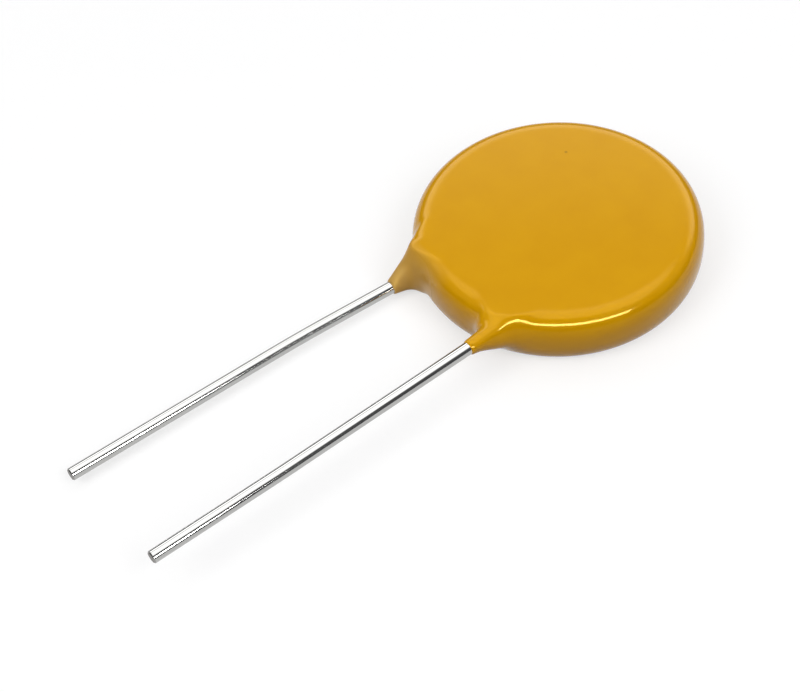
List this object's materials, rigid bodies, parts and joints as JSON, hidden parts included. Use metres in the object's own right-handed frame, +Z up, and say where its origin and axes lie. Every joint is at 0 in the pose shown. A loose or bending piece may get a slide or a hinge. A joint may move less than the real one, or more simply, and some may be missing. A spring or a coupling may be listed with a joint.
{
  "type": "disc varistor",
  "caption": "Epoxy-coated disc varistor with bare radial wire leads that leave the rim through run-down necks, lying flat on one face.",
  "frame": {"origin": "centre of the disc at the flat underside of its coating, which is the face that it lies on", "axes": "+Z up through the disc's thickness, -Y the way the leads run out, +X towards the lead on the upper electrode"},
  "size_m": [0.0214, 0.0499, 0.0043],
  "materials": {
    "epoxy": "satin",
    "tinned_wire": "bright",
    "zinc_oxide": "matt",
    "fired_silver": "matt",
    "solder": "satin"
  },
  "bodies": {
    "root": {"epoxy_coating": "epoxy", "front_lead": "tinned_wire", "rear_lead": "tinned_wire", "ceramic_disc": "zinc_oxide", "front_electrode": "fired_silver", "rear_electrode": "fired_silver", "front_solder_joint": "solder", "rear_solder_joint": "solder"}
  },
  "joints": []
}
